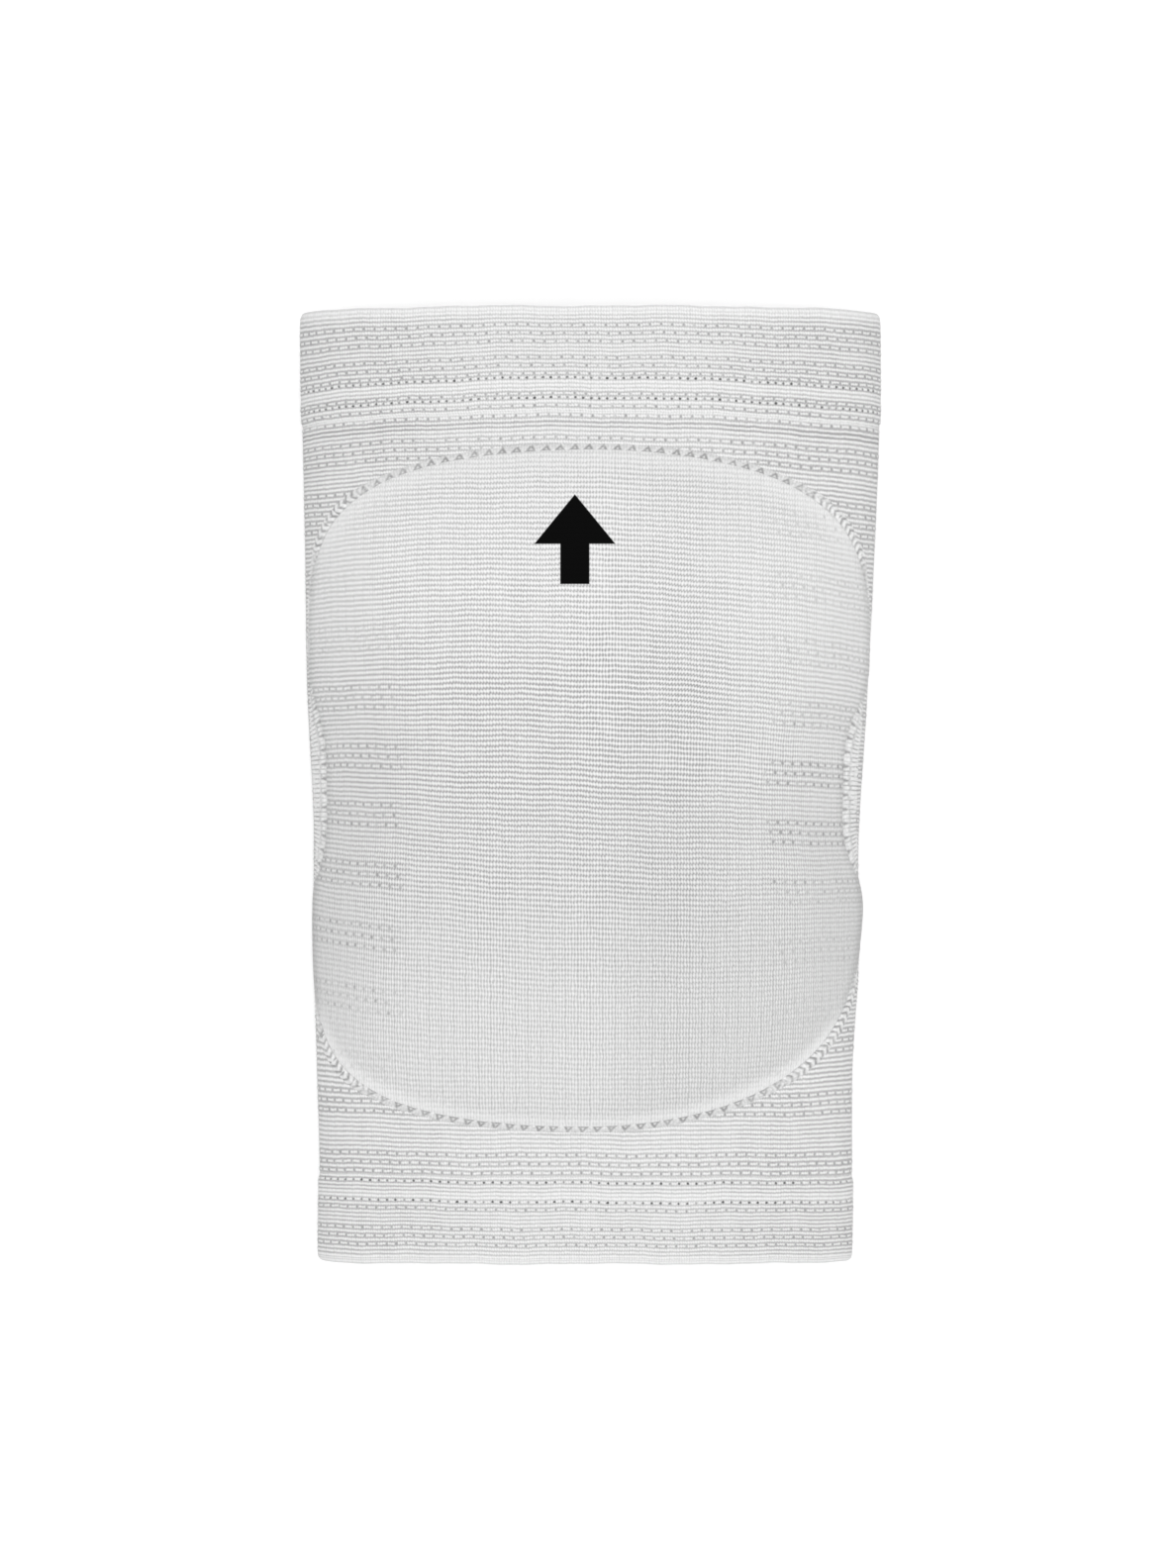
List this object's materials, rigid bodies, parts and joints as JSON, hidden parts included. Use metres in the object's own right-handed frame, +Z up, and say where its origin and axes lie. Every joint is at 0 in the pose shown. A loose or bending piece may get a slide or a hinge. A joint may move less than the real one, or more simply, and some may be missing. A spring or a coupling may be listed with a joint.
{
  "type": "volleyball knee pad",
  "caption": "Pull-on knitted knee sleeve with a domed foam pad in a sewn knit pouch and a turned welt at each end, lying on its back.",
  "frame": {"origin": "on the surface it lies on, below the middle of the sleeve's length and width", "axes": "+Y along the leg from the calf end to the thigh end, +Z up through the pad, away from the back of the knee, +X across the pad to the right as seen from above with the thigh end up"},
  "size_m": [0.1469, 0.24, 0.045],
  "materials": {
    "sleeve_knit": "white elasticated circular knit with tuck-stitch rows",
    "cuff_knit": "white elasticated knit, double thickness, with rows of small holes",
    "pad_knit": "white fine-ribbed knit stretched over foam",
    "foam": "matt off-white cushioning foam"
  },
  "bodies": {
    "root": {"knit_sleeve": "sleeve_knit", "thigh_cuff": "cuff_knit", "calf_cuff": "cuff_knit", "foam_pad": "foam", "pad_cover": "pad_knit"}
  },
  "joints": []
}
